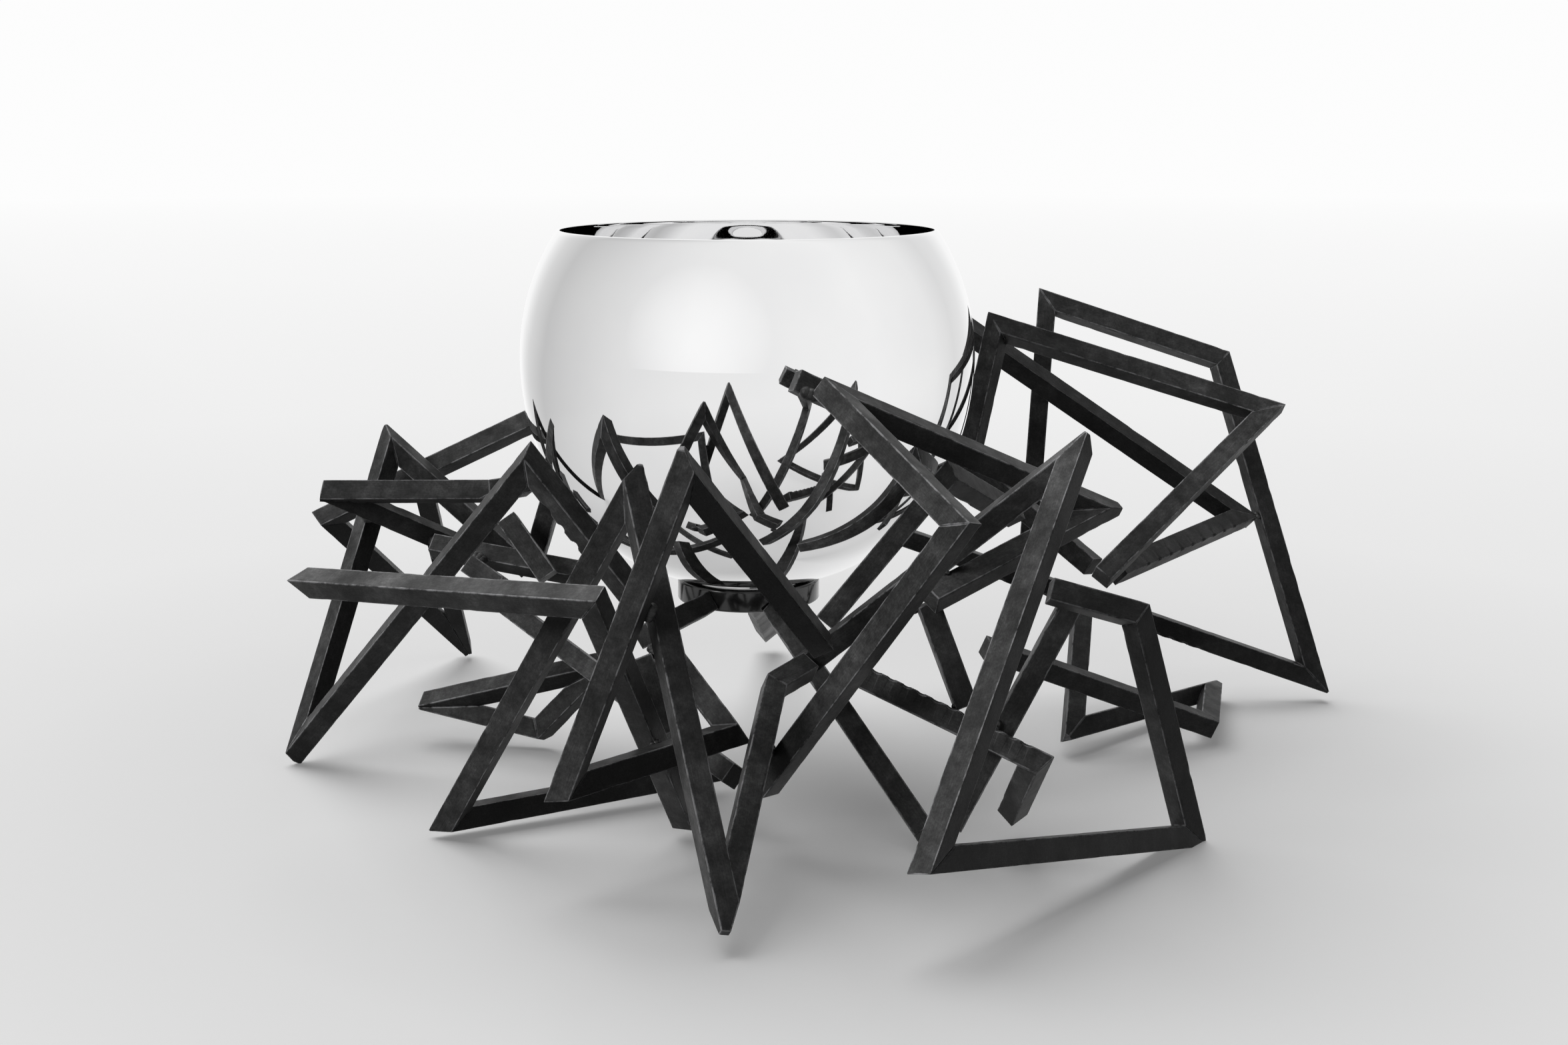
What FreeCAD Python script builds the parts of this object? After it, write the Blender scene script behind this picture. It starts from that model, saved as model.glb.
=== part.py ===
import FreeCAD, Part
import math
import os
import Sketcher

from FreeCAD import Placement, Rotation, Vector

# A mirror-polished steel bowl standing on a small black ring, in a welded nest
# of blackened square bars. The bars are sawn from one stock, mitred and welded
# into crooked frames, and the frames are welded to each other.
#
# Millimetres, +Z up, -Y to the viewer, +X along the nest's long side. The corner
# of each frame is given from the bowl's own axis and the ground, and the nest is
# then shifted so that the origin is under the middle of the whole object.

SIZES = {
    "stock_width": 9,           # the square bar that every frame is sawn from
    "saw_allowance": 48,        # extra stock left on an end before it is mitred
    "saw_size": 80,             # half the length and the full depth of a saw cut
    "tip_reach": 10,            # how far a mitred corner may stand out of its joint
    "short_tip_reach": 5,       # the same, on the two bluntest corners
    "nest_shift_x": -40.4,      # from the bowl's axis to the middle of the nest
    "nest_shift_y": 27.0,
    "bowl_radius": 100,         # at the bowl's widest, its equator
    "equator_height": 185,
    "rim_height": 241,
    "bowl_wall": 1.2,
    "side_arc_radius": 120,     # the flatter side below the equator
    "base_arc_radius": 85,      # the tighter turn under the bowl
    "bowl_bottom": 85,
    "ring_radius": 32,          # the seat ring under the bowl
    "ring_hole_radius": 24.6,
    "ring_bottom": 76,
    "ring_height": 9.7,
    "ring_edge_radius": 1,
}

# Each frame is a bent line of bars from corner to corner. A roll turns the first
# bar's front face about its own length; every mitre then passes the turn on.
FRAMES = [
    {
        "name": "left_peaks",
        "corners": [(-104, 48, 78), (-169, 57, 137), (-203, -7, 10), (-88, -86, 152),
                    (-47, -82, 96)],
        "bars": ["left_peak_back_bar", "left_peak_outer_leg", "left_peak_rising_bar",
                 "left_peak_inner_bar"],
        "roll": 20,
    },
    {
        "name": "left_spear",
        "corners": [(-176, -98, 106), (-56, -178, 117), (-26, -104, 7)],
        "bars": ["left_spear_bar", "left_spear_leg"],
        "roll": 45,
        "start_towards": (0.5, 0.7, -0.5),
    },
    {
        "name": "left_wedge",
        "corners": [(-133, 46, 88), (-190, 20, 121), (-119, 20, 121), (-102, 30, 122)],
        "bars": ["left_wedge_lower_bar", "left_wedge_upper_bar", "left_wedge_end"],
        "roll": 20,
        "short_tips": True,
    },
    {
        "name": "left_back",
        "corners": [(-105, 75, 145), (-201, 60, 101), (-156, 168, 12), (-157, 74, 111)],
        "bars": ["left_back_top_bar", "left_back_leg", "left_back_brace"],
        "roll": -18,
        "end_against": "left_back_top_bar",
    },
    {
        "name": "left_shelf",
        "corners": [(-146, 26, 94), (-72, 8, 84)],
        "bars": ["left_shelf_bar"],
        "roll": 25,
    },
    {
        "name": "wedge_stub",
        "corners": [(-127, 6, 90), (-112, 0, 81)],
        "bars": ["wedge_stub"],
    },
    {
        "name": "left_prop_front",
        "corners": [(-109, 6, 111), (-90, -4, 86)],
        "bars": ["left_prop_front"],
    },
    {
        "name": "left_prop_rear",
        "corners": [(-88, 12, 123), (-98, 24, 92)],
        "bars": ["left_prop_rear"],
        "end_against": "left_shelf_bar",
    },
    {
        "name": "left_cross",
        "corners": [(-117, 40, 64), (-6, -108, 27)],
        "bars": ["left_cross_bar"],
    },
    {
        "name": "left_low",
        "corners": [(-149, 28, 18), (-97, 14, 9), (-66, 0, 44)],
        "bars": ["left_low_front_bar", "left_low_end_bar", "left_low_long_bar"],
        "closed": True,
        "short_tips": True,
    },
    {
        "name": "front_peak",
        "corners": [(-13, -50, 11), (-122, -103, 8), (-42, -157, 154), (-9, -216, 16),
                    (10, -112, 66), (24, -97, 70)],
        "bars": ["front_foot_bar", "front_peak_left_leg", "front_peak_right_leg",
                 "front_foot_riser", "front_foot_link"],
        "roll": 13,
    },
    {
        "name": "centre_peak",
        "corners": [(29, -113, 83), (-22, -193, 167), (-68, -174, 46), (-7, -124, 50),
                    (-34, -85, 75)],
        "bars": ["centre_peak_right_leg", "centre_peak_left_leg", "centre_low_bar",
                 "centre_return_bar"],
        "roll": 25,
    },
    {
        "name": "side_stub",
        "corners": [(-44, -88, 72), (-32, -95, 42)],
        "bars": ["side_stub"],
    },
    {
        "name": "ring_strut",
        "corners": [(-17, -24, 79), (-44, -66, 75)],
        "bars": ["ring_strut"],
        "start_against": "seat_ring",
    },
    {
        "name": "ring_leg",
        "corners": [(2, 22, 70), (10, 185, 11)],
        "bars": ["ring_leg"],
    },
    {
        "name": "ring_brace",
        "corners": [(10, -28, 78), (71, -118, 6)],
        "bars": ["ring_brace"],
        "start_against": "seat_ring",
    },
    {
        "name": "leaning_frame",
        "corners": [(6, -130, 30), (75, -188, 147), (33, -124, 184), (143, -84, 132),
                    (70, -130, 106)],
        "bars": ["leaning_frame_long_leg", "leaning_frame_upper_bar",
                 "leaning_frame_top_bar", "leaning_frame_lower_bar"],
        "roll": 28,
    },
    {
        "name": "top_stub",
        "corners": [(18, -114, 189), (37, -111, 180)],
        "bars": ["top_stub"],
    },
    {
        "name": "outer_wedge",
        "corners": [(156, -22, 89), (244, 45, 153), (117, 52, 192), (104, 50, 129),
                    (157, 4, 88)],
        "bars": ["outer_wedge_lower_bar", "outer_wedge_top_bar", "outer_wedge_inner_post",
                 "outer_wedge_return_bar"],
        "roll": 15,
    },
    {
        "name": "rear_right",
        "corners": [(102, 75, 191), (246, 95, 92), (166, -2, 87)],
        "bars": ["rear_right_long_bar", "rear_right_return_bar"],
        "roll": 45,
    },
    {
        "name": "tall_frame",
        "corners": [(140, 96, 68), (150, 118, 198), (238, 118, 169), (284, 84, 12), (75, 96, 84)],
        "bars": ["tall_frame_left_post", "tall_frame_top_bar", "tall_frame_right_post",
                 "tall_frame_bottom_bar"],
        "roll": 8,
        "start_against": "tall_frame_bottom_bar",
    },
    {
        "name": "front_right",
        "corners": [(115, -138, 111), (148, -140, 102), (179, -112, 2), (62, -232, 39),
                    (121, -150, 165), (12, -80, 57)],
        "bars": ["front_right_link_bar", "front_right_outer_leg", "front_right_floor_bar",
                 "front_right_tall_bar", "front_right_long_bar"],
        "roll": 10,
    },
    {
        "name": "inner_leg",
        "corners": [(129, -114, 103), (79, -134, 15)],
        "bars": ["front_right_inner_leg"],
    },
    {
        "name": "bowl_side",
        "corners": [(32, -68, 81), (83, -61, 142), (119, -4, 114)],
        "bars": ["bowl_side_rising_bar", "bowl_side_falling_bar"],
    },
    {
        "name": "centre_stub",
        "corners": [(70, -120, 102), (85, -126, 62)],
        "bars": ["centre_stub"],
    },
    {
        "name": "scalloped",
        "corners": [(36, -126, 78), (111, -141, 44), (107, -108, 11)],
        "bars": ["scalloped_bar", "scalloped_foot"],
    },
    {
        "name": "back_right",
        "corners": [(166, 80, 56), (150, 4, 11), (231, 78, 7), (215, 16, 9), (107, -6, 53)],
        "bars": ["back_right_post", "back_right_diagonal", "back_right_floor_bar",
                 "back_right_long_bar"],
    },
]

# Short bars that fill the gaps between frames are kept three or two to a node.
GROUPS = {
    "left_props": ["wedge_stub", "left_prop_front", "left_prop_rear"],
    "filler_stubs": ["side_stub", "top_stub", "centre_stub"],
    "ring_legs": ["ring_strut", "ring_leg"],
}

VIEWER_SIDE = Vector(0, -1, 0.3)    # the way an unrolled bar's front face looks


def corner_alias(frame_name, index, axis):
    return "%s_c%d_%s" % (frame_name, index + 1, axis)


def make_sheet(doc):
    """Put every driving size, and every corner of every frame, in the sheet."""
    sheet = doc.addObject("Spreadsheet::Sheet", "Sizes")
    cells = dict(SIZES)
    for frame in FRAMES:
        for index, corner in enumerate(frame["corners"]):
            for axis, number in zip("xyz", corner):
                cells[corner_alias(frame["name"], index, axis)] = number
    for row, (alias, number) in enumerate(cells.items(), 1):
        sheet.set("A%d" % row, alias.replace("_", " "))
        sheet.set("B%d" % row, str(number))
        sheet.setAlias("B%d" % row, alias)
    doc.recompute()
    return sheet


def size(alias):
    return float(sheet.get(alias))


def unit(vector):
    return Vector(vector) / vector.Length


def mitre_normal(arriving, leaving):
    """The plane that halves a corner is square to the sum of its two directions."""
    return unit(arriving + leaving)


def roll_about(direction, face, degrees):
    """Turn a face direction about the bar; a positive roll lifts it up or left."""
    side = face.cross(direction)
    angle = math.radians(degrees)
    return face * math.cos(angle) + side * math.sin(angle)


# ---------------------------------------------------------------- where bars run

def lay_out_frame(frame):
    """Give each bar of a frame its ends, section axes and saw cuts."""
    name = frame["name"]
    corners = [
        Vector(*[size(corner_alias(name, index, axis)) for axis in "xyz"])
        for index in range(len(frame["corners"]))
    ]
    closed = frame.get("closed", False)
    reach = size("short_tip_reach" if frame.get("short_tips") else "tip_reach")
    count = len(frame["bars"])
    ends = [(corners[i], corners[(i + 1) % len(corners)]) for i in range(count)]
    along = [unit(end - start) for start, end in ends]

    first = VIEWER_SIDE - along[0] * VIEWER_SIDE.dot(along[0])
    faces = [roll_about(along[0], unit(first), frame.get("roll", 0))]
    for i in range(1, count):
        normal = mitre_normal(along[i - 1], along[i])
        faces.append(unit(faces[-1] - normal * (2 * faces[-1].dot(normal))))

    bars = []
    for i, bar_name in enumerate(frame["bars"]):
        bar = {
            "name": bar_name,
            "frame": name,
            "corner": i,
            "next_corner": (i + 1) % len(corners),
            "start": ends[i][0],
            "finish": ends[i][1],
            "along": along[i],
            "face": faces[i],
            "cuts": [],
            "sawn": [False, False],
        }
        if i > 0 or closed:
            add_mitre(bar, 0, along[i - 1], along[i], reach)
        if i < count - 1 or closed:
            add_mitre(bar, 1, along[i], along[(i + 1) % count], reach)
        bars.append(bar)
    if "start_towards" in frame:
        add_mitre(bars[0], 0, unit(Vector(*frame["start_towards"])) * -1, along[0], reach)
    return bars


def onto_plane(corner, point, normal):
    """The spot on a plane straight across from a corner, where the saw is set."""
    return corner - normal * normal.dot(corner - point)


def add_mitre(bar, end, arriving, leaving, reach):
    """Saw a bar's end to the corner's half angle, and grind off a long thin tip."""
    corner = (bar["start"], bar["finish"])[end]
    outward = mitre_normal(arriving, leaving) * (1 if end else -1)
    bar["cuts"].append((corner, outward))
    bar["sawn"][end] = True
    half_turn = math.acos(max(-1.0, min(1.0, arriving.dot(leaving)))) / 2
    tip_length = size("stock_width") * math.sqrt(0.5) / math.cos(half_turn)
    if tip_length > reach:
        tip = unit(arriving - leaving)
        bar["cuts"].append((corner + tip * reach, tip))


def add_butt_cut(bar, end, other):
    """Saw a bar's end flat where it meets another bar's side, or the seat ring."""
    middle = (bar["start"] + bar["finish"]) / 2
    if other == "seat_ring":
        away = unit(Vector(middle.x, middle.y, 0))
        point = away * size("ring_radius")
    else:
        target = bars_by_name[other]
        side = target["face"].cross(target["along"])
        choices = [target["face"], target["face"] * -1, side, side * -1]
        away = max(choices, key=lambda choice: choice.dot(middle - target["start"]))
        point = target["start"] + away * (size("stock_width") / 2)
    corner = (bar["start"], bar["finish"])[end]
    bar["cuts"].append((onto_plane(corner, point, away), away * -1))
    bar["sawn"][end] = True


def reaches_ground(bar):
    """True where an end is so low that its corners may stand below the ground."""
    return min(bar["start"].z, bar["finish"].z) < 2 * size("stock_width")


# ------------------------------------------------------------------ making solids

def origin_plane(body, role):
    return [o for o in body.Origin.OriginFeatures if o.Role == role][0]


def rectangle(sketch, low, high, bindings):
    """Draw a rectangle and drive its size and place from the sheet."""
    points = [
        Vector(low[0], low[1], 0),
        Vector(high[0], low[1], 0),
        Vector(high[0], high[1], 0),
        Vector(low[0], high[1], 0),
    ]
    for i in range(4):
        sketch.addGeometry(Part.LineSegment(points[i], points[(i + 1) % 4]))
    for i in range(4):
        sketch.addConstraint(Sketcher.Constraint("Coincident", i, 2, (i + 1) % 4, 1))
    for i in (0, 2):
        sketch.addConstraint(Sketcher.Constraint("Horizontal", i))
    for i in (1, 3):
        sketch.addConstraint(Sketcher.Constraint("Vertical", i))
    for constraint, expression in bindings:
        index = sketch.addConstraint(constraint)
        sketch.setExpression("Constraints[%d]" % index, expression)


def saw_cut(body, number, point, outward):
    """Take off everything beyond a plane through the point."""
    size_of_saw = size("saw_size")
    helper = Vector(0, 0, 1) if abs(outward.z) < 0.9 else Vector(0, 1, 0)
    across = unit(helper.cross(outward))
    turn = Rotation(outward, across, outward.cross(across), "XYZ")
    sketch = body.newObject("Sketcher::SketchObject", "SawLine%d" % number)
    sketch.AttachmentSupport = [(origin_plane(body, "XY_Plane"), "")]
    sketch.MapMode = "FlatFace"
    sketch.AttachmentOffset = Placement(point, turn)
    rectangle(sketch, (0, -size_of_saw), (size_of_saw, size_of_saw), [
        (Sketcher.Constraint("DistanceX", 0, 1, 0, 2, size_of_saw), "Sizes.saw_size"),
        (Sketcher.Constraint("DistanceY", 1, 1, 1, 2, 2 * size_of_saw), "2 * Sizes.saw_size"),
        (Sketcher.Constraint("DistanceY", 0, 1, -1, 1, size_of_saw), "Sizes.saw_size"),
    ])
    sketch.addConstraint(Sketcher.Constraint("PointOnObject", 0, 1, -2))
    pocket = body.newObject("PartDesign::Pocket", "SawCut%d" % number)
    pocket.Profile = sketch
    pocket.SideType = "Symmetric"
    pocket.setExpression("Length", "2 * Sizes.saw_size")
    sketch.Visibility = False


def length_expression(bar):
    """The distance between the bar's two corners, plus what the saw will take."""
    terms = []
    for axis in "xyz":
        start = corner_alias(bar["frame"], bar["corner"], axis)
        finish = corner_alias(bar["frame"], bar["next_corner"], axis)
        terms.append("(Sizes.%s - Sizes.%s)^2" % (finish, start))
    extra = sum(bar["sawn"])
    return "sqrt(%s) * 1 mm + %d * Sizes.saw_allowance * 1 mm" % (" + ".join(terms), extra)


def make_bar(doc, bar):
    """One sawn length of square stock: local X runs along it."""
    body = doc.addObject("PartDesign::Body", bar["name"])
    body.Label = bar["name"]
    half = size("stock_width") / 2
    section = body.newObject("Sketcher::SketchObject", "Section")
    section.AttachmentSupport = [(origin_plane(body, "YZ_Plane"), "")]
    section.MapMode = "FlatFace"
    rectangle(section, (-half, -half), (half, half), [
        (Sketcher.Constraint("DistanceX", 0, 1, 0, 2, 2 * half), "Sizes.stock_width"),
        (Sketcher.Constraint("DistanceY", 1, 1, 1, 2, 2 * half), "Sizes.stock_width"),
    ])
    section.addConstraint(Sketcher.Constraint("Symmetric", 0, 1, 1, 2, -1, 1))
    if bar["sawn"][0]:
        section.setExpression("AttachmentOffset.Base.z", "-Sizes.saw_allowance")
    stock_length = body.newObject("PartDesign::Pad", "Stock")
    stock_length.Profile = section
    stock_length.setExpression("Length", length_expression(bar))

    side = bar["face"].cross(bar["along"])
    turn = Rotation(bar["along"], bar["face"], side * -1, "XYZ")
    to_local = Placement(bar["start"], turn).inverse()
    cuts = list(bar["cuts"])
    if reaches_ground(bar):
        low_end = min(bar["start"], bar["finish"], key=lambda corner: corner.z)
        cuts.append((Vector(low_end.x, low_end.y, 0), Vector(0, 0, -1)))
    for number, (point, outward) in enumerate(cuts, 1):
        local_outward = to_local.Rotation.multVec(outward)
        local_point = to_local.multVec(point)
        saw_cut(body, number, local_point, local_outward)

    shift = Vector(size("nest_shift_x"), size("nest_shift_y"), 0)
    body.Placement = Placement(bar["start"] + shift, turn)
    for axis in "xy":
        corner = corner_alias(bar["frame"], bar["corner"], axis)
        body.setExpression("Placement.Base." + axis, "Sizes.%s + Sizes.nest_shift_%s" % (corner, axis))
    corner = corner_alias(bar["frame"], bar["corner"], "z")
    body.setExpression("Placement.Base.z", "Sizes." + corner)
    return body


def revolved_body(doc, name):
    """A body with an empty outline sketch: radius across, height up."""
    body = doc.addObject("PartDesign::Body", name)
    body.Label = name
    sketch = body.newObject("Sketcher::SketchObject", "Outline")
    sketch.AttachmentSupport = [(origin_plane(body, "XZ_Plane"), "")]
    sketch.MapMode = "FlatFace"
    for axis in "xy":
        body.setExpression("Placement.Base." + axis, "Sizes.nest_shift_" + axis)
    return body, sketch


def turn_outline(body, sketch):
    turned = body.newObject("PartDesign::Revolution", "Turned")
    turned.Profile = sketch
    turned.ReferenceAxis = (sketch, ["V_Axis"])
    turned.Angle = 360
    return turned


def bowl_half(sketch, wall):
    """Draw the base, side and upper arcs of one face of the bowl, wall inside it."""
    equator = size("equator_height")
    side_radius = size("side_arc_radius")
    base_radius = size("base_arc_radius")
    side_centre = Vector(size("bowl_radius") - side_radius, equator, 0)
    base_height = size("bowl_bottom") + base_radius
    lean = math.asin((base_height - equator) / (side_radius - base_radius))
    flat = side_centre.x + (side_radius - base_radius) * math.cos(lean)
    base_centre = Vector(flat, base_height, 0)
    upper_radius = size("bowl_radius") - wall
    rise = math.asin((size("rim_height") - equator) / upper_radius)
    up = Vector(0, 0, 1)
    arcs = [
        (base_centre, base_radius - wall, -math.pi / 2, lean, "base_arc_radius"),
        (side_centre, side_radius - wall, lean, 0, "side_arc_radius"),
        (Vector(0, equator, 0), upper_radius, 0, rise, "bowl_radius"),
    ]
    indices = []
    for centre, radius, low, high, alias in arcs:
        circle = Part.Circle(centre, up, radius)
        index = sketch.addGeometry(Part.ArcOfCircle(circle, low, high))
        indices.append((index, radius, alias))
    return indices, Vector(flat, size("bowl_bottom") + wall, 0)


def make_bowl(doc):
    """The spun bowl: one thin wall from the flat at the bottom up to an open rim."""
    body, sketch = revolved_body(doc, "bowl")
    wall = size("bowl_wall")
    outer, outer_flat = bowl_half(sketch, 0)
    inner, inner_flat = bowl_half(sketch, wall)
    rim = size("rim_height")
    equator = size("equator_height")
    outer_rim = Vector(math.sqrt(size("bowl_radius") ** 2 - (rim - equator) ** 2), rim, 0)
    inner_radius = size("bowl_radius") - wall
    inner_rim = Vector(math.sqrt(inner_radius ** 2 - (rim - equator) ** 2), rim, 0)
    outer_axis = Vector(0, outer_flat.y, 0)
    inner_axis = Vector(0, inner_flat.y, 0)
    for start, end in ((outer_axis, outer_flat), (outer_rim, inner_rim),
                       (inner_flat, inner_axis), (inner_axis, outer_axis)):
        sketch.addGeometry(Part.LineSegment(start, end))
    outer_bottom, rim_edge, inner_bottom, axis_edge = 6, 7, 8, 9
    joints = [
        (outer_bottom, 2, 0, 1), (0, 2, 1, 1), (1, 2, 2, 1), (2, 2, rim_edge, 1),
        (rim_edge, 2, 5, 2), (5, 1, 4, 2), (4, 1, 3, 2), (3, 1, inner_bottom, 1),
        (inner_bottom, 2, axis_edge, 1), (axis_edge, 2, outer_bottom, 1),
    ]
    for joint in joints:
        sketch.addConstraint(Sketcher.Constraint("Coincident", *joint))
    for index, radius, alias in outer + inner:
        row = sketch.addConstraint(Sketcher.Constraint("Radius", index, radius))
        formula = "Sizes." + alias
        if index > 2:
            formula += " - Sizes.bowl_wall"
        sketch.setExpression("Constraints[%d]" % row, formula)
    heights = [
        ((2, 3), "equator_height"), ((5, 3), "equator_height"), ((rim_edge, 1), "rim_height"),
        ((rim_edge, 2), "rim_height"), ((outer_bottom, 1), "bowl_bottom"),
    ]
    for (index, point), alias in heights:
        level = Sketcher.Constraint("DistanceY", -1, 1, index, point, size(alias))
        row = sketch.addConstraint(level)
        sketch.setExpression("Constraints[%d]" % row, "Sizes." + alias)
    turn_outline(body, sketch)
    return body


def make_ring(doc):
    """The seat ring: a flat band with eased edges, just under the bowl."""
    body, sketch = revolved_body(doc, "seat_ring")
    inner = size("ring_hole_radius")
    outer = size("ring_radius")
    low = size("ring_bottom")
    high = low + size("ring_height")
    rectangle(sketch, (inner, low), (outer, high), [
        (Sketcher.Constraint("DistanceX", -1, 1, 0, 1, inner), "Sizes.ring_hole_radius"),
        (Sketcher.Constraint("DistanceX", -1, 1, 0, 2, outer), "Sizes.ring_radius"),
        (Sketcher.Constraint("DistanceY", -1, 1, 0, 1, low), "Sizes.ring_bottom"),
        (Sketcher.Constraint("DistanceY", 1, 1, 1, 2, high - low), "Sizes.ring_height"),
    ])
    turned = turn_outline(body, sketch)
    doc.recompute()
    eased = body.newObject("PartDesign::Fillet", "EasedEdges")
    rims = ["Edge%d" % (i + 1) for i in range(len(turned.Shape.Edges))]
    eased.Base = (turned, rims)
    eased.setExpression("Radius", "Sizes.ring_edge_radius")
    return body


def make_group(doc, name, bodies):
    """Several short bars in one node."""
    group = doc.addObject("Part::Compound", name)
    group.Label = name
    group.Links = bodies
    return group


# ----------------------------------------------------------------------- the model

doc = FreeCAD.newDocument("cradled_bowl")
sheet = make_sheet(doc)

bars = [bar for frame in FRAMES for bar in lay_out_frame(frame)]
bars_by_name = {bar["name"]: bar for bar in bars}
for frame in FRAMES:
    if "start_against" in frame:
        add_butt_cut(bars_by_name[frame["bars"][0]], 0, frame["start_against"])
    if "end_against" in frame:
        add_butt_cut(bars_by_name[frame["bars"][-1]], 1, frame["end_against"])

bodies = {bar["name"]: make_bar(doc, bar) for bar in bars}
bodies["bowl"] = make_bowl(doc)
bodies["seat_ring"] = make_ring(doc)
doc.recompute()

nodes = dict(bodies)
for group_name, members in GROUPS.items():
    nodes[group_name] = make_group(doc, group_name, [nodes.pop(name) for name in members])
doc.recompute()

# Nothing is written unless every feature worked and every node is a sound shape.
for item in doc.Objects:
    if "Invalid" in item.State or "Error" in item.State:
        raise RuntimeError("%s failed: %s" % (item.Label, item.State))
for name, node in nodes.items():
    if node.Shape.isNull() or not node.Shape.isValid():
        raise RuntimeError("%s has no sound shape" % name)

os.makedirs("parts", exist_ok=True)
for name, node in nodes.items():
    node.Shape.exportStep("parts/%s.step" % name)

whole = FreeCAD.BoundBox()
for node in nodes.values():
    whole.add(node.Shape.BoundBox)
print("%d nodes" % len(nodes))
print("x %.2f to %.2f" % (whole.XMin, whole.XMax))
print("y %.2f to %.2f" % (whole.YMin, whole.YMax))
print("z %.2f to %.2f" % (whole.ZMin, whole.ZMax))
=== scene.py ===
import math

import bmesh
import bpy
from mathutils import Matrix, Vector, noise
from mathutils.bvhtree import BVHTree


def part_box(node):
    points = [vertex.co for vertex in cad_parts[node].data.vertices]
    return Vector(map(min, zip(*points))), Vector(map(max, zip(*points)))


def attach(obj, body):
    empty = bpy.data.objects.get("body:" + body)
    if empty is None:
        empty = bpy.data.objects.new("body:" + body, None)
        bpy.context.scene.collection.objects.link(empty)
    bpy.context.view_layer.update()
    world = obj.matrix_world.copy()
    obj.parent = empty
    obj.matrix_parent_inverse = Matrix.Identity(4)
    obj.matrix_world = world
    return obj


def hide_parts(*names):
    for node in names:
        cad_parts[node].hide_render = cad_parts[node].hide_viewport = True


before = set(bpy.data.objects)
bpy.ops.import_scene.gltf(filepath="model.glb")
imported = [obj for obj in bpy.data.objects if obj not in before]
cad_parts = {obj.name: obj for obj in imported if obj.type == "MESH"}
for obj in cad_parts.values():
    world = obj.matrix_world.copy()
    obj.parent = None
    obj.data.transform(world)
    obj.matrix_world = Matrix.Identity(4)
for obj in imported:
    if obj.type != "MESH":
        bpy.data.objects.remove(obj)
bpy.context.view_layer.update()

# A mirror-polished bowl on a black ring, in a welded nest of blackened square bars.
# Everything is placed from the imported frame, in metres, +Z up, -Y to the viewer.

MM = 0.001

BOWL_LOW, BOWL_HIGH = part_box("bowl")
RING_LOW, RING_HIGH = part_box("seat_ring")
AXIS = Vector(((BOWL_LOW[0] + BOWL_HIGH[0]) / 2, (BOWL_LOW[1] + BOWL_HIGH[1]) / 2, 0))
BOWL_RADIUS = (BOWL_HIGH[0] - BOWL_LOW[0]) / 2
BAR_NODES = [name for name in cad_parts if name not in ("bowl", "seat_ring")]


# Grey tones of the studio walls by compass direction, in degrees from straight behind
# the object, to the left below zero; they are what the bowl mirrors.
WALL_TONES = [(-180, 0.89), (-150, 0.87), (-119, 0.81), (-85, 0.68), (-60, 0.58), (-42, 0.72),
              (-25, 0.98), (25, 0.98), (42, 0.82), (56, 0.76), (75, 0.87), (115, 0.94), (180, 0.89)]
# The floor's glow by distance from the object's middle, before it takes the wall's: dimmer near the
# middle, a painted pool of shade round the object.
FLOOR_PAINTED_GLOW = [(0.0, 0.17), (0.25, 0.21), (0.40, 0.28), (0.60, 0.34), (1.2, 0.39), (3.0, 0.42)]
FLOOR_REACH = 3.0           # the distance that the last of those tones is for
FLOOR_SHADE = 0.72          # how pale the floor is under the lights alone
FLOOR_RADIUS = 8.0
FLOOR_FADE = [(0.08, 0.0), (0.9, 1.0)]      # how it turns into the wall, by share of its radius
# How much of the wall's tone the floor's glow takes in reflections only, by distance: the floor the
# bowl mirrors is painted paler than the floor the camera sees.
FLOOR_MIRRORED = [(0.0, 0.55), (0.35, 0.7), (0.7, 1.0)]


# ------------------------------------------------------------------ node helpers

def new_material(name):
    material = bpy.data.materials.new(name)
    material.use_nodes = True
    tree = material.node_tree
    shader = tree.nodes["Principled BSDF"]
    return material, tree, shader


def add(tree, kind, settings=None, **inputs):
    """Add a node; inputs may be numbers, colours or other nodes' output sockets."""
    node = tree.nodes.new(kind)
    for key, value in (settings or {}).items():
        setattr(node, key, value)
    for key, value in inputs.items():
        socket = node.inputs[key.replace("_", " ")]
        connect(tree, socket, value)
    return node


def connect(tree, socket, value):
    if isinstance(value, bpy.types.NodeSocket):
        tree.links.new(value, socket)
    else:
        socket.default_value = value


def ramp(tree, factor, stops):
    """A colour ramp from (position, grey or colour) stops."""
    node = tree.nodes.new("ShaderNodeValToRGB")
    elements = node.color_ramp.elements
    while len(elements) < len(stops):
        elements.new(0.5)
    for element, (position, shade) in zip(elements, stops):
        colour = shade if isinstance(shade, tuple) else (shade, shade, shade)
        element.position = position
        element.color = (*colour, 1)
    tree.links.new(factor, node.inputs["Fac"])
    return node.outputs["Color"]


def noise_texture(tree, vector, scale, detail=4.0, roughness=0.55):
    node = add(tree, "ShaderNodeTexNoise", Vector=vector, Scale=scale, Detail=detail,
               Roughness=roughness)
    return node.outputs["Fac"]


def maths(tree, operation, first, second=0.0):
    node = tree.nodes.new("ShaderNodeMath")
    node.operation = operation
    connect(tree, node.inputs[0], first)
    connect(tree, node.inputs[1], second)
    return node.outputs["Value"]


def mix_colour(tree, factor, first, second, blend="MIX"):
    """Mix two colours; the numbered sockets are the node's colour ones."""
    node = add(tree, "ShaderNodeMix", {"data_type": "RGBA", "blend_type": blend})
    connect(tree, node.inputs[0], factor)
    connect(tree, node.inputs[6], first)
    connect(tree, node.inputs[7], second)
    return node.outputs[2]


# --------------------------------------------------------------------- materials

RUBBED_STEEL = (0.24, 0.24, 0.245, 1)


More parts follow.
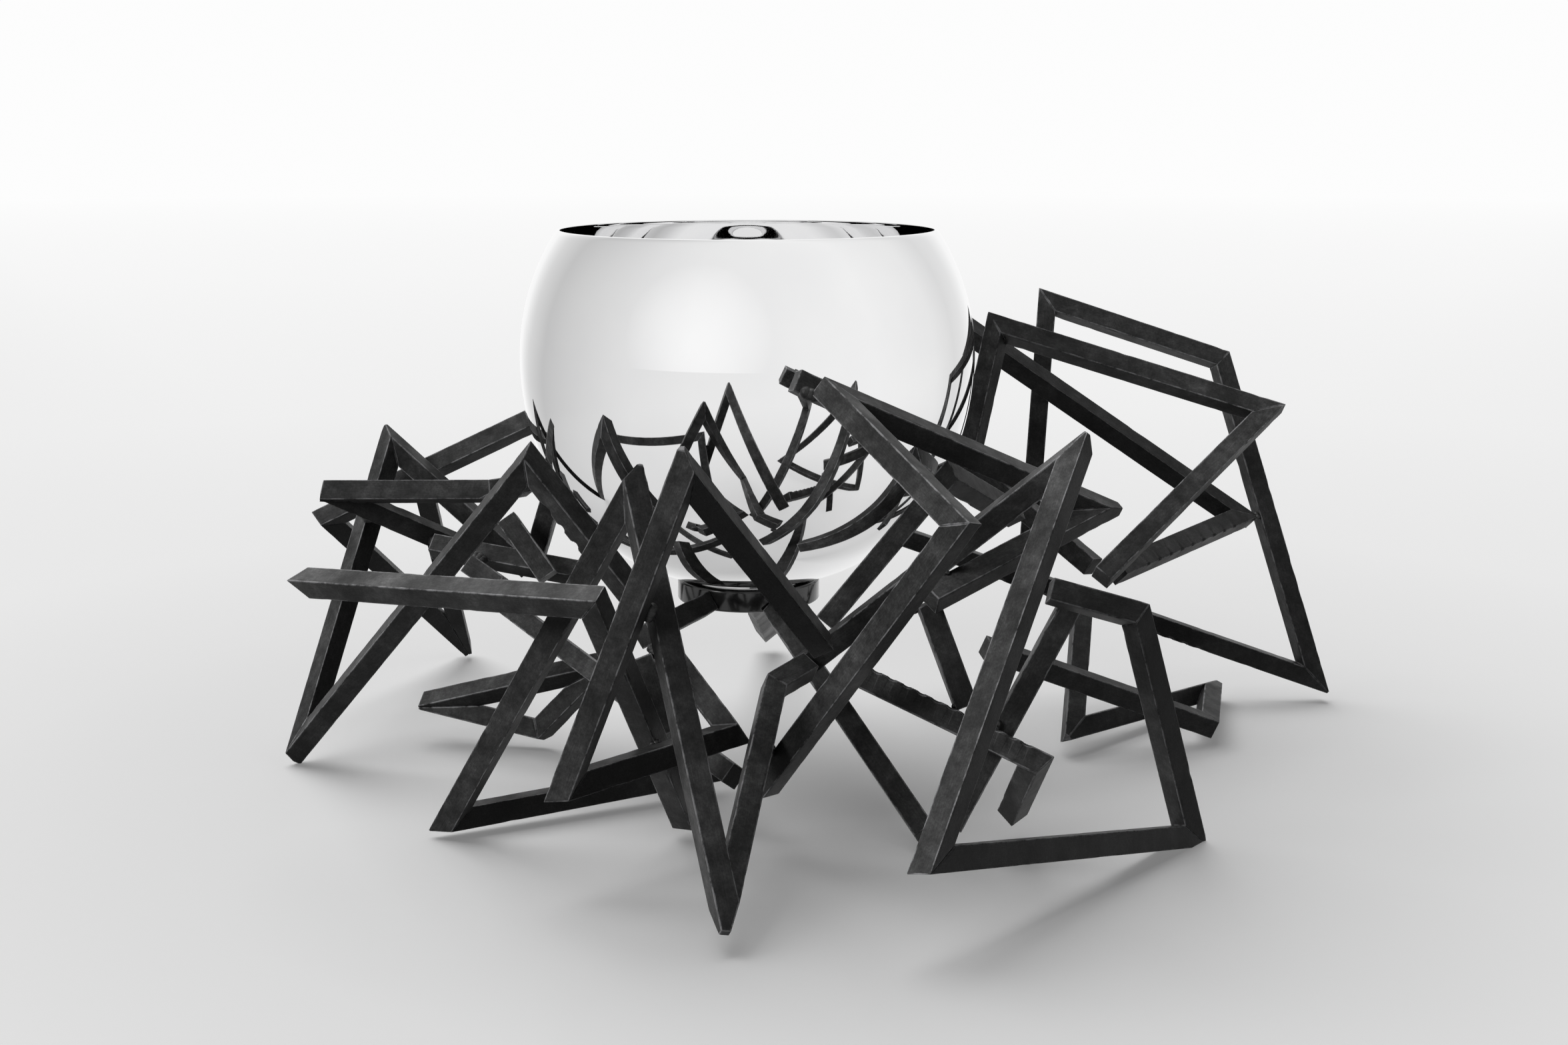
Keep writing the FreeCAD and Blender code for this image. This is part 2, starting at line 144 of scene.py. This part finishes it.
def blackened_steel():
    """Mill-scale black with heat mottling, short grinding marks and worn edges."""
    material, tree, shader = new_material("blackened_steel")
    place = add(tree, "ShaderNodeTexCoord").outputs
    patches = noise_texture(tree, place["Object"], 48.0, 6.0, 0.62)
    blotches = noise_texture(tree, place["Object"], 210.0, 4.0, 0.65)
    grain = noise_texture(tree, place["Object"], 1100.0, 3.0, 0.7)
    stretched = add(tree, "ShaderNodeMapping", Vector=place["UV"])
    stretched.inputs["Scale"].default_value = (160.0, 2100.0, 1.0)
    scratches = noise_texture(tree, stretched.outputs["Vector"], 1.0, 5.0, 0.75)
    tone = ramp(tree, patches, [(0.30, 0.020), (0.47, 0.036), (0.60, 0.058), (0.76, 0.088)])
    marks = [
        ramp(tree, blotches, [(0.32, 0.62), (0.52, 1.0), (0.70, 1.45)]),
        ramp(tree, scratches, [(0.38, 0.78), (0.55, 1.0), (0.70, 1.30)]),
        ramp(tree, grain, [(0.3, 0.72), (0.7, 1.28)]),
    ]
    for mark in marks:
        tone = mix_colour(tree, 1.0, tone, mark, "MULTIPLY")
    wear = add(tree, "ShaderNodeAttribute", {"attribute_name": "wear"}).outputs["Fac"]
    rubbed = maths(tree, "MULTIPLY", wear, noise_texture(tree, place["Object"], 160.0, 5.0, 0.7))
    bare = ramp(tree, rubbed, [(0.38, 0.0), (0.56, 0.9)])
    colour = mix_colour(tree, bare, tone, RUBBED_STEEL)
    tree.links.new(colour, shader.inputs["Base Color"])
    rough = ramp(tree, patches, [(0.3, 0.60), (0.7, 0.40)])
    tree.links.new(rough, shader.inputs["Roughness"])
    shader.inputs["Specular IOR Level"].default_value = 0.10
    height = maths(tree, "ADD", maths(tree, "MULTIPLY", blotches, 0.8), grain)
    bump = add(tree, "ShaderNodeBump", Strength=0.4, Distance=0.00015, Height=height)
    tree.links.new(bump.outputs["Normal"], shader.inputs["Normal"])
    return material


def weld_metal():
    """Sooty, finely pitted metal of the weld beads."""
    material, tree, shader = new_material("weld_metal")
    place = add(tree, "ShaderNodeTexCoord").outputs
    soot = noise_texture(tree, place["Object"], 260.0, 4.0, 0.6)
    tree.links.new(ramp(tree, soot, [(0.3, 0.012), (0.7, 0.05)]), shader.inputs["Base Color"])
    tree.links.new(ramp(tree, soot, [(0.3, 0.6), (0.7, 0.38)]), shader.inputs["Roughness"])
    shader.inputs["Metallic"].default_value = 0.9
    fine = noise_texture(tree, place["Object"], 1400.0, 3.0, 0.6)
    bump = add(tree, "ShaderNodeBump", Strength=0.4, Distance=0.0002, Height=fine)
    tree.links.new(bump.outputs["Normal"], shader.inputs["Normal"])
    return material


def polished_steel():
    """Mirror-polished stainless steel, with the faintest uneven haze."""
    material, tree, shader = new_material("polished_steel")
    place = add(tree, "ShaderNodeTexCoord").outputs
    haze = noise_texture(tree, place["Object"], 30.0, 3.0, 0.5)
    tree.links.new(ramp(tree, haze, [(0.3, 0.012), (0.7, 0.03)]), shader.inputs["Roughness"])
    tint = ramp(tree, haze, [(0.3, (0.90, 0.90, 0.905)), (0.7, (0.93, 0.93, 0.93))])
    tree.links.new(tint, shader.inputs["Base Color"])
    shader.inputs["Metallic"].default_value = 1.0
    return material


def black_enamel():
    """Gloss black on the seat ring."""
    material, tree, shader = new_material("black_enamel")
    place = add(tree, "ShaderNodeTexCoord").outputs
    smear = noise_texture(tree, place["Object"], 120.0, 4.0, 0.6)
    tree.links.new(ramp(tree, smear, [(0.3, 0.004), (0.7, 0.012)]), shader.inputs["Base Color"])
    tree.links.new(ramp(tree, smear, [(0.3, 0.10), (0.7, 0.24)]), shader.inputs["Roughness"])
    shader.inputs["Coat Weight"].default_value = 0.3
    shader.inputs["Coat Roughness"].default_value = 0.08
    return material


def wall_tone(tree, direction):
    """The wall's grey in a direction from the object's middle."""
    parts = add(tree, "ShaderNodeSeparateXYZ", Vector=direction).outputs
    turn = maths(tree, "ARCTAN2", parts["X"], parts["Y"])
    share = maths(tree, "ADD", maths(tree, "DIVIDE", turn, 2 * math.pi), 0.5)
    return ramp(tree, share, [(degrees / 360 + 0.5, tone) for degrees, tone in WALL_TONES])


def studio_paper():
    """The floor: a glow with a soft painted pool of shade round the object, as pale as the walls
    far away.
    """
    material, tree, shader = new_material("studio_paper")
    place = add(tree, "ShaderNodeTexCoord").outputs["Object"]
    away = add(tree, "ShaderNodeVectorMath", {"operation": "LENGTH"})
    tree.links.new(place, away.inputs[0])
    away = away.outputs["Value"]
    # The floor's emitted glow, dimmer near the object's middle: painted shade round the object.
    painted_glow = ramp(tree, maths(tree, "DIVIDE", away, FLOOR_REACH),
                [(distance / FLOOR_REACH, tone) for distance, tone in FLOOR_PAINTED_GLOW])
    wall = wall_tone(tree, place)
    far = ramp(tree, maths(tree, "DIVIDE", away, FLOOR_RADIUS), FLOOR_FADE)
    # Only for reflection rays the floor glows with more of the wall's tone: a painted, paler floor
    # in the bowl's mirror.
    mirrored = add(tree, "ShaderNodeLightPath").outputs["Is Glossy Ray"]
    blended = ramp(tree, maths(tree, "DIVIDE", away, FLOOR_REACH),
                   [(distance / FLOOR_REACH, amount) for distance, amount in FLOOR_MIRRORED])
    share = maths(tree, "MAXIMUM", far, maths(tree, "MULTIPLY", mirrored, blended))
    tree.links.new(mix_colour(tree, share, painted_glow, wall), shader.inputs["Emission Color"])
    shader.inputs["Emission Strength"].default_value = 1.0
    shade = (FLOOR_SHADE, FLOOR_SHADE, FLOOR_SHADE, 1)
    tree.links.new(mix_colour(tree, share, shade, (0, 0, 0, 1)), shader.inputs["Base Color"])
    shader.inputs["Roughness"].default_value = 1.0
    shader.inputs["Specular IOR Level"].default_value = 0.0
    return material


STEEL = blackened_steel()
WELD = weld_metal()
MIRROR = polished_steel()
ENAMEL = black_enamel()
PAPER = studio_paper()


# -------------------------------------------------------------------- mesh making

def finish_piece(name, mesh, material, body, smooth=False):
    mesh.materials.append(material)
    if smooth:
        mesh.shade_smooth()
    else:
        mesh.shade_flat()
    piece = bpy.data.objects.new(name, mesh)
    bpy.context.scene.collection.objects.link(piece)
    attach(piece, body)
    return piece


def lathe(name, outline, segments):
    """Turn a closed outline of (radius, height) points about the bowl's axis."""
    mesh_maker = bmesh.new()
    rings = []
    for radius, height in outline:
        if radius == 0:
            rings.append([mesh_maker.verts.new((AXIS.x, AXIS.y, height))])
            continue
        ring = []
        for step in range(segments):
            turn = 2 * math.pi * step / segments
            spot = (AXIS.x + radius * math.cos(turn), AXIS.y + radius * math.sin(turn), height)
            ring.append(mesh_maker.verts.new(spot))
        rings.append(ring)
    for first, second in zip(rings, rings[1:] + rings[:1]):
        for step in range(segments):
            following = (step + 1) % segments
            corners = [first[step % len(first)], first[following % len(first)],
                       second[following % len(second)], second[step % len(second)]]
            unique = list(dict.fromkeys(corners))
            if len(unique) > 2:
                mesh_maker.faces.new(unique)
    bmesh.ops.recalc_face_normals(mesh_maker, faces=mesh_maker.faces)
    mesh = bpy.data.meshes.new(name)
    mesh_maker.to_mesh(mesh)
    mesh_maker.free()
    return mesh


def arc(centre, radius, start, end, steps):
    """Points on an arc of the outline, from one angle to another, both included."""
    points = []
    for step in range(steps + 1):
        angle = start + (end - start) * step / steps
        points.append((centre[0] + radius * math.cos(angle), centre[1] + radius * math.sin(angle)))
    return points


# ---------------------------------------------------------------------- the bowl

EQUATOR = BOWL_LOW[2] + BOWL_RADIUS     # the height where the bowl is widest
SIDE_RADIUS = 1.2 * BOWL_RADIUS
BASE_RADIUS = 0.85 * BOWL_RADIUS
BOWL_WALL = 1.2 * MM
LIP = 0.35 * BOWL_WALL                  # how far the rim's edge is rounded over


def bowl_face(inset):
    """The base, side and upper arcs of one face of the bowl, from axis to rim."""
    side_centre = (BOWL_RADIUS - SIDE_RADIUS, EQUATOR)
    base_height = BOWL_LOW[2] + BASE_RADIUS
    lean = math.asin((base_height - EQUATOR) / (SIDE_RADIUS - BASE_RADIUS))
    base_centre = (side_centre[0] + (SIDE_RADIUS - BASE_RADIUS) * math.cos(lean), base_height)
    upper_radius = BOWL_RADIUS - inset
    rise = math.asin((BOWL_HIGH[2] - EQUATOR) / upper_radius)
    points = [(0.0, BOWL_LOW[2] + inset)]
    points += arc(base_centre, BASE_RADIUS - inset, -math.pi / 2, lean, 40)
    points += arc(side_centre, SIDE_RADIUS - inset, lean, 0, 20)[1:]
    points += arc((0, EQUATOR), upper_radius, 0, rise, 28)[1:]
    return points


def make_bowl():
    """The bowl turned whole, with its rim's edge rounded over."""
    outer = bowl_face(0.0)
    inner = bowl_face(BOWL_WALL)
    rim_radius = (outer[-1][0] + inner[-1][0]) / 2
    outer[-1] = (outer[-1][0] + LIP * 0.5, outer[-1][1] - LIP)
    inner[-1] = (inner[-1][0] + LIP * 0.4, inner[-1][1] - LIP)
    top = BOWL_HIGH[2] - LIP * 0.1
    edge = [(rim_radius + LIP, top), (rim_radius - LIP, top)]
    mesh = lathe("polished_bowl", outer + edge + inner[::-1], 256)
    piece = finish_piece("polished_bowl", mesh, MIRROR, "bowl", True)
    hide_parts("bowl")
    return piece


# ---------------------------------------------------------------------- the ring

RING_HOLE = 24.6 / 32       # the hole's radius as a share of the ring's
RING_EDGE = 1.0 * MM        # the radius of its rounded edges


def make_ring():
    """A flat band with round edges."""
    outer = (RING_HIGH[0] - RING_LOW[0]) / 2
    inner = outer * RING_HOLE
    edge = RING_EDGE
    low, high = RING_LOW[2], RING_HIGH[2]
    quarter = math.pi / 2
    outline = arc((outer - edge, low + edge), edge, -quarter, 0, 5)
    outline += arc((outer - edge, high - edge), edge, 0, quarter, 5)
    outline += arc((inner + edge, high - edge), edge, quarter, 2 * quarter, 5)
    outline += arc((inner + edge, low + edge), edge, 2 * quarter, 3 * quarter, 5)
    mesh = lathe("enamelled_ring", outline, 128)
    piece = finish_piece("enamelled_ring", mesh, ENAMEL, "nest", True)
    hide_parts("seat_ring")


# ---------------------------------------------------------------------- the bars

EDGE_EASE = 0.35 * MM       # the sawn bar's edges are barely broken
FACE_MARGIN = 0.9 * MM      # how far the rubbed band reaches in from an edge
SLICE = 3.5 * MM            # spacing of the cross-sections that carry the wear
NICK_DEPTH = 0.55 * MM


def bar_pieces(node):
    """The separate bars of a node, each as a bmesh with flat sides and no slivers."""
    whole = bmesh.new()
    whole.from_mesh(node.data)
    bmesh.ops.remove_doubles(whole, verts=whole.verts, dist=1e-5)
    left = set(whole.faces)
    islands = []
    while left:
        stack = [left.pop()]
        island = set(stack)
        while stack:
            for edge in stack.pop().edges:
                for face in edge.link_faces:
                    if face in left:
                        left.discard(face)
                        island.add(face)
                        stack.append(face)
        islands.append(island)
    pieces = []
    for island in islands:
        piece = bmesh.new()
        copies = {}
        for face in sorted(island, key=lambda f: f.index):
            for vert in face.verts:
                if vert.index not in copies:
                    copies[vert.index] = piece.verts.new(vert.co)
            piece.faces.new([copies[vert.index] for vert in face.verts])
        bmesh.ops.recalc_face_normals(piece, faces=piece.faces)
        piece.normal_update()
        bmesh.ops.dissolve_limit(piece, angle_limit=math.radians(1.5), verts=piece.verts,
                                 edges=piece.edges)
        bmesh.ops.recalc_face_normals(piece, faces=piece.faces)
        pieces.append(piece)
    whole.free()
    return pieces


def bar_axis(bar):
    """A point on the bar's middle line and the way it runs, from its longest edge."""
    longest = max(bar.edges, key=lambda edge: edge.calc_length())
    along = (longest.verts[1].co - longest.verts[0].co).normalized()
    middle = sum((vert.co for vert in bar.verts), Vector()) / len(bar.verts)
    return middle, along


# Bars with a row of round bites along one edge: the way that edge faces, where the row
# starts and ends as shares of the length, and then the bites' spacing and their radius.
BITTEN = {
    "scalloped_bar": ((0, -0.4, 1), 0.08, 0.92, 6.4 * MM, 3.1 * MM),
    "left_peak_inner_bar": ((0, -0.4, -1), 0.35, 0.75, 9.0 * MM, 2.6 * MM),
    "tall_frame_bottom_bar": ((0, -0.5, -1), 0.30, 0.80, 7.5 * MM, 2.8 * MM),
    "rear_right_return_bar": ((0, -1.0, 0.3), 0.15, 0.85, 11.0 * MM, 2.2 * MM),
}
BITE_SLICE = 0.8 * MM       # spacing of the cross-sections that carry the bites
BITE_CENTRE = 0.55          # how far outside the edge a bite's centre is, in its radii
MIDDLE_FIRST = 0.01         # of equal spots on an edge, the one near the bar's middle wins


def slice_bar(bar, spot, along):
    """Cut every face of the bar across at a spot, without parting it."""
    bmesh.ops.bisect_plane(bar, geom=list(bar.verts) + list(bar.edges) + list(bar.faces),
                           plane_co=spot, plane_no=along, dist=1e-6)


def bite_edge(bar, middle, along, facing, first, last, spacing, radius):
    """Push an edge of the bar in to a row of round bites."""
    facing = Vector(facing)
    facing = (facing - along * facing.dot(along)).normalized()
    outermost = max((vert.co - middle for vert in bar.verts),
                    key=lambda offset: (offset.dot(facing)
                                        - abs(offset.dot(along)) * MIDDLE_FIRST))
    outward = outermost - along * outermost.dot(along)
    half_width = outward.length
    outward.normalize()
    reach = [(vert.co - middle).dot(along) for vert in bar.verts]
    low, high = min(reach), max(reach)
    start, finish = low + (high - low) * first, low + (high - low) * last
    for step in range(int((finish - start) / BITE_SLICE)):
        slice_bar(bar, middle + along * (start + step * BITE_SLICE), along)
    for step in range(int((finish - start) / spacing) + 1):
        uneven = 1.0 + 0.18 * noise.noise(Vector((step * 3.7, spacing * 900, 0)))
        size = radius * uneven
        centre = (middle + along * (start + step * spacing)
                  + outward * (half_width + BITE_CENTRE * size))
        for vert in bar.verts:
            gap = vert.co - centre
            if gap.length < size:
                inward = gap.dot(outward)
                depth = inward + math.sqrt(inward ** 2 + size ** 2 - gap.length_squared)
                vert.co -= outward * depth


def wear_at(spot):
    """How deep an edge is nicked at a spot: mostly nothing, now and then a bite."""
    rough = noise.noise(spot * 900) * 0.5 + 0.5
    bite = max(0.0, noise.noise(spot * 170 + Vector((7, 3, 5))) - 0.30) / 0.7
    return NICK_DEPTH * (0.10 * rough + bite)


def worn_bar(bar, bites):
    """Break, nick and bite the edges, and let nothing dip below the ground."""
    middle, along = bar_axis(bar)
    bmesh.ops.bevel(bar, geom=list(bar.edges) + list(bar.verts), offset=EDGE_EASE,
                    segments=2, profile=0.6, affect="EDGES", clamp_overlap=True)
    wear = bar.verts.layers.float.new("wear")
    for vert in bar.verts:
        vert[wear] = 1.0
    broad = [face for face in bar.faces
             if face.calc_area() > face.calc_perimeter() * FACE_MARGIN]
    for face in broad:
        bmesh.ops.inset_individual(bar, faces=[face], thickness=FACE_MARGIN,
                                   use_even_offset=True)
        for vert in face.verts:
            vert[wear] = 0.0
    reach = [(vert.co - middle).dot(along) for vert in bar.verts]
    low, high = min(reach), max(reach)
    count = int((high - low) / SLICE)
    for step in range(1, count):
        slice_bar(bar, middle + along * (low + (high - low) * step / count), along)
    for vert in bar.verts:
        if vert[wear] > 0.5:
            centre = middle + along * (vert.co - middle).dot(along)
            inward = centre - vert.co
            if inward.length > 1e-6:
                vert.co += inward.normalized() * wear_at(vert.co)
    if bites:
        bite_edge(bar, middle, along, *bites)
    for vert in bar.verts:
        vert.co.z = max(vert.co.z, 0.0)
    return middle, along


def unwrap_along(bar, middle, along):
    """Give the bar coordinates that run along and around it, for its scratches."""
    layer = bar.loops.layers.uv.new("along")
    helper = Vector((0, 0, 1)) if abs(along.z) < 0.9 else Vector((0, 1, 0))
    across = along.cross(helper).normalized()
    third = along.cross(across)
    for face in bar.faces:
        sideways = across if abs(face.normal.dot(across)) < abs(face.normal.dot(third)) else third
        for loop in face.loops:
            offset = loop.vert.co - middle
            loop[layer].uv = (offset.dot(along), offset.dot(sideways))


def make_bars():
    """A worn copy of every bar stands for its plain CAD node."""
    for name in BAR_NODES:
        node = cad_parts[name]
        joined = bmesh.new()
        for bar in bar_pieces(node):
            middle, along = worn_bar(bar, BITTEN.get(name))
            unwrap_along(bar, middle, along)
            bmesh.ops.triangulate(bar, faces=bar.faces)
            part = bpy.data.meshes.new("part")
            bar.to_mesh(part)
            joined.from_mesh(part)
            bpy.data.meshes.remove(part)
            bar.free()
        mesh = bpy.data.meshes.new(name + "_bar")
        joined.to_mesh(mesh)
        joined.free()
        piece = finish_piece(name + "_worn", mesh, STEEL, "nest")
        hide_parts(name)


# --------------------------------------------------------------------- the welds

WELD_GAP = 4.0 * MM         # bars nearer than this and not mitred together are welded
WELD_SEARCH = 1.5 * MM      # spacing of the spots that are tried along an edge
SAME_SPOT = 0.05 * MM
BEAD_STEP = 1.7 * MM        # from one puddle of a weld to the next
BEAD_RADIUS = 1.3 * MM      # the middle puddle's, beyond half the gap that it fills
BEAD_TAPER = 0.2 * MM       # how much smaller the outer puddles are


def plain_bars():
    """Each single bar with its tree for distance tests."""
    bars = []
    for name in BAR_NODES:
        for bar in bar_pieces(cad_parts[name]):
            middle, along = bar_axis(bar)
            bars.append({
                "node": name,
                "tree": BVHTree.FromBMesh(bar),
                "edges": [(edge.verts[0].co.copy(), edge.verts[1].co.copy()) for edge in bar.edges],
                "corners": [vert.co.copy() for vert in bar.verts],
                "along": along,
            })
            bar.free()
    return bars


def mitred_together(first, second):
    """Two bars of one frame share the corners of their mitre."""
    shared = 0
    for corner in first["corners"]:
        if min((corner - other).length for other in second["corners"]) < SAME_SPOT:
            shared += 1
    return shared >= 3


def closest(first, second):
    """The nearest pair of points, found along the edges of each bar."""
    best = (WELD_GAP, None, None)
    for one, other in ((first, second), (second, first)):
        for start, end in one["edges"]:
            steps = max(2, int((end - start).length / WELD_SEARCH))
            for step in range(steps + 1):
                spot = start.lerp(end, step / steps)
                found = other["tree"].find_nearest(spot, WELD_GAP)
                if found[0] is not None and found[3] < best[0]:
                    best = (found[3], spot, found[0])
    return best


def boxes_near(first, second):
    """A quick test that leaves out most pairs of bars."""
    for axis in range(3):
        low_a = min(corner[axis] for corner in first["corners"])
        high_a = max(corner[axis] for corner in first["corners"])
        low_b = min(corner[axis] for corner in second["corners"])
        high_b = max(corner[axis] for corner in second["corners"])
        if low_a > high_b + WELD_GAP or low_b > high_a + WELD_GAP:
            return False
    return True


def weld_bead(maker, spot, along, gap):
    """Three overlapping puddles in a row, rippled, as a short tack weld leaves."""
    for step in (-1, 0, 1):
        centre = spot + along * (step * BEAD_STEP)
        radius = gap / 2 + BEAD_RADIUS - BEAD_TAPER * abs(step)
        made = bmesh.ops.create_icosphere(maker, subdivisions=3, radius=radius)
        for vert in made["verts"]:
            ripple = 1.0 + 0.10 * noise.noise((vert.co + centre) * 700)
            vert.co = centre + vert.co * ripple


def make_welds():
    """One short weld wherever two bars that share no mitre all but touch."""
    bars = plain_bars()
    maker = bmesh.new()
    for i, first in enumerate(bars):
        for second in bars[i + 1:]:
            if not boxes_near(first, second) or mitred_together(first, second):
                continue
            gap, spot, other = closest(first, second)
            if spot is not None:
                weld_bead(maker, (spot + other) / 2, first["along"], gap)
    mesh = bpy.data.meshes.new("weld_beads")
    maker.to_mesh(mesh)
    maker.free()
    finish_piece("weld_beads", mesh, WELD, "nest", True)


# --------------------------------------------------------------------- the studio

def make_floor():
    """A wide round floor that meets the walls' tone at the horizon."""
    maker = bmesh.new()
    bmesh.ops.create_circle(maker, cap_ends=True, radius=FLOOR_RADIUS, segments=96)
    mesh = bpy.data.meshes.new("studio_floor")
    maker.to_mesh(mesh)
    maker.free()
    mesh.materials.append(PAPER)
    floor = bpy.data.objects.new("studio_floor", mesh)
    floor.visible_diffuse = False
    bpy.context.scene.collection.objects.link(floor)
    return floor


def soft_sun(name, azimuth, elevation, spread, strength, unlit):
    """A broad, far softbox, which the things in the unlit collection aren't lit by."""
    data = bpy.data.lights.new(name, "SUN")
    data.angle = math.radians(spread)
    data.energy = strength
    light = bpy.data.objects.new(name, data)
    turn, rise = math.radians(azimuth), math.radians(elevation)
    flat = math.cos(rise)
    towards = Vector((math.sin(turn) * flat, math.cos(turn) * flat, math.sin(rise)))
    light.rotation_euler = towards.to_track_quat("Z", "Y").to_euler()
    bpy.context.scene.collection.objects.link(light)
    light.light_linking.receiver_collection = unlit


def left_out(name, objects):
    """A collection of the objects that a light leaves unlit."""
    unlit = bpy.data.collections.new(name)
    for thing in objects:
        unlit.objects.link(thing)
    for link in unlit.collection_objects:
        link.light_linking.link_state = "EXCLUDE"
    return unlit


def make_lights(bowl, floor):
    """A broad softbox overhead, a little behind and left, and one in front for the bars."""
    soft_sun("overhead", -40, 62, 60, 2.3, left_out("not_overhead", [bowl]))
    soft_sun("front_left", -125, 30, 25, 2.2, left_out("not_front_left", [bowl, floor]))


GLOW_TOWARDS = (-0.40, -0.84, 0.23)     # the glow that the bowl's front mirrors


def make_world():
    """Pale studio walls, with a soft glow left of the viewer."""
    world = bpy.data.worlds.new("studio")
    bpy.context.scene.world = world
    world.use_nodes = True
    world.cycles_visibility.diffuse = False
    tree = world.node_tree
    background = tree.nodes["Background"]
    direction = add(tree, "ShaderNodeTexCoord").outputs["Generated"]
    glow_from = add(tree, "ShaderNodeVectorMath", {"operation": "DOT_PRODUCT"})
    tree.links.new(direction, glow_from.inputs[0])
    glow_from.inputs[1].default_value = Vector(GLOW_TOWARDS).normalized()
    glow = ramp(tree, glow_from.outputs["Value"], [(0.80, 0.0), (1.0, 0.14)])
    lit = mix_colour(tree, 1.0, wall_tone(tree, direction), glow, "ADD")
    tree.links.new(lit, background.inputs["Color"])
    background.inputs["Strength"].default_value = 1.0


CAMERA_DISTANCE = 0.870     # in front of the bowl's axis
CAMERA_HEIGHT = 0.287
CAMERA_DIP = 11.5           # degrees below level
CAMERA_TURN = 1.055         # degrees to the right of square on


def make_camera():
    """In front of the bowl and a little above its rim, looking down."""
    data = bpy.data.cameras.new("camera")
    data.sensor_width = 36.0
    data.lens = 45.3
    camera = bpy.data.objects.new("camera", data)
    camera.location = (AXIS.x, AXIS.y - CAMERA_DISTANCE, CAMERA_HEIGHT)
    camera.rotation_euler = (math.radians(90 - CAMERA_DIP), 0, math.radians(-CAMERA_TURN))
    bpy.context.scene.collection.objects.link(camera)
    bpy.context.scene.camera = camera


bowl = make_bowl()
make_ring()
make_bars()
make_welds()
floor = make_floor()
make_lights(bowl, floor)
make_world()
make_camera()
bpy.context.scene.view_settings.view_transform = "Standard"
